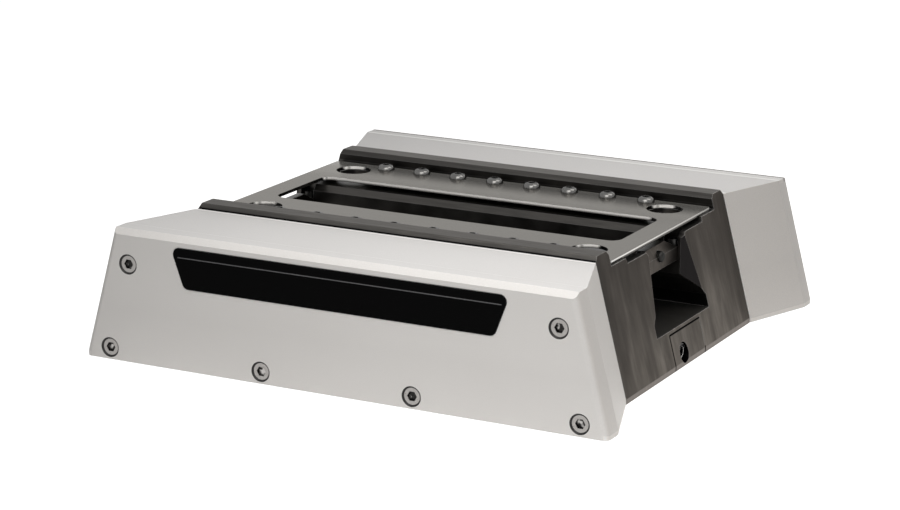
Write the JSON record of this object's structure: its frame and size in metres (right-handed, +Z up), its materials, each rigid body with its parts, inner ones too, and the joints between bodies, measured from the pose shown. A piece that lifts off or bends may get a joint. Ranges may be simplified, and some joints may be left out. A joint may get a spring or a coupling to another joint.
{
  "type": "pneumatic zero-point chuck",
  "caption": "Low steel clamping chuck with a T-shaped channel, thin windowed top plate, silver side covers and spring-closed air-released locking pistons.",
  "frame": {"origin": "centre of the flat underside", "axes": "+X along the channel and the covers' length, +Y to the back cover, +Z up"},
  "size_m": [0.325, 0.3102, 0.08],
  "materials": {
    "dark_steel": "dark ground steel, satin",
    "stainless_plate": "satin stainless sheet",
    "silver_cover": "fine bead-blasted, clear anodised",
    "bright_screw": "polished stainless",
    "black_screw": "black oxide",
    "black_label": "gloss black, bare",
    "black_rubber": "matt black",
    "bronze": "turned bronze",
    "hard_steel": "ground and hardened"
  },
  "bodies": {
    "chuck": {"base_body": "dark_steel", "top_plate": "stainless_plate", "plate_screws_front": "bright_screw", "plate_screws_back": "bright_screw", "mounting_screws": "bright_screw", "bridge_bar_right": "dark_steel", "bridge_bar_left": "dark_steel", "bridge_bar_screws": "black_screw", "stop_studs": "bright_screw", "key_block_right": "dark_steel", "key_block_left": "dark_steel", "key_block_screws": "black_screw", "port_seals": "black_rubber", "cover_frame_front": "silver_cover", "cover_frame_back": "silver_cover", "cover_plate_front": "silver_cover", "cover_plate_back": "silver_cover", "cover_plate_screws_front": "bright_screw", "cover_plate_screws_back": "bright_screw", "cover_frame_screws_front": "black_screw", "cover_frame_screws_back": "black_screw", "cover_gasket_front": "black_rubber", "cover_gasket_back": "black_rubber", "label_plate": "black_label", "cylinder_screws_front": "black_screw", "cylinder_screws_back": "black_screw", "rod_seals": "black_rubber", "cylinder_barrel_front_right": "silver_cover", "cylinder_cap_front_right": "silver_cover", "rod_bush_front_right": "bronze", "lock_spring_front_right": "hard_steel", "cylinder_barrel_front_left": "silver_cover", "cylinder_cap_front_left": "silver_cover", "rod_bush_front_left": "bronze", "lock_spring_front_left": "hard_steel", "cylinder_barrel_back_right": "silver_cover", "cylinder_cap_back_right": "silver_cover", "rod_bush_back_right": "bronze", "lock_spring_back_right": "hard_steel", "cylinder_barrel_back_left": "silver_cover", "cylinder_cap_back_left": "silver_cover", "rod_bush_back_left": "bronze", "lock_spring_back_left": "hard_steel"},
    "lock_front_right": {"lock_piston_front_right": "hard_steel", "piston_seal_front_right": "black_rubber"},
    "lock_front_left": {"lock_piston_front_left": "hard_steel", "piston_seal_front_left": "black_rubber"},
    "lock_back_right": {"lock_piston_back_right": "hard_steel", "piston_seal_back_right": "black_rubber"},
    "lock_back_left": {"lock_piston_back_left": "hard_steel", "piston_seal_back_left": "black_rubber"}
  },
  "joints": [
    {"name": "release_front_right", "type": "slide", "parent": "chuck", "child": "lock_front_right", "axis": [0, -1, 0], "range_m": [0, 0.009], "stiffness_N_per_m": 15000, "springref_m": -0.01, "deforming": ["lock_spring_front_right"]},
    {"name": "release_front_left", "type": "slide", "parent": "chuck", "child": "lock_front_left", "axis": [0, -1, 0], "range_m": [0, 0.009], "stiffness_N_per_m": 15000, "springref_m": -0.01, "deforming": ["lock_spring_front_left"]},
    {"name": "release_back_right", "type": "slide", "parent": "chuck", "child": "lock_back_right", "axis": [0, 1, 0], "range_m": [0, 0.009], "stiffness_N_per_m": 15000, "springref_m": -0.01, "deforming": ["lock_spring_back_right"]},
    {"name": "release_back_left", "type": "slide", "parent": "chuck", "child": "lock_back_left", "axis": [0, 1, 0], "range_m": [0, 0.009], "stiffness_N_per_m": 15000, "springref_m": -0.01, "deforming": ["lock_spring_back_left"]}
  ],
  "couplings": [
    {"joint": "release_front_left", "follows": "release_front_right", "ratio": 1},
    {"joint": "release_back_right", "follows": "release_front_right", "ratio": 1},
    {"joint": "release_back_left", "follows": "release_front_right", "ratio": 1}
  ]
}
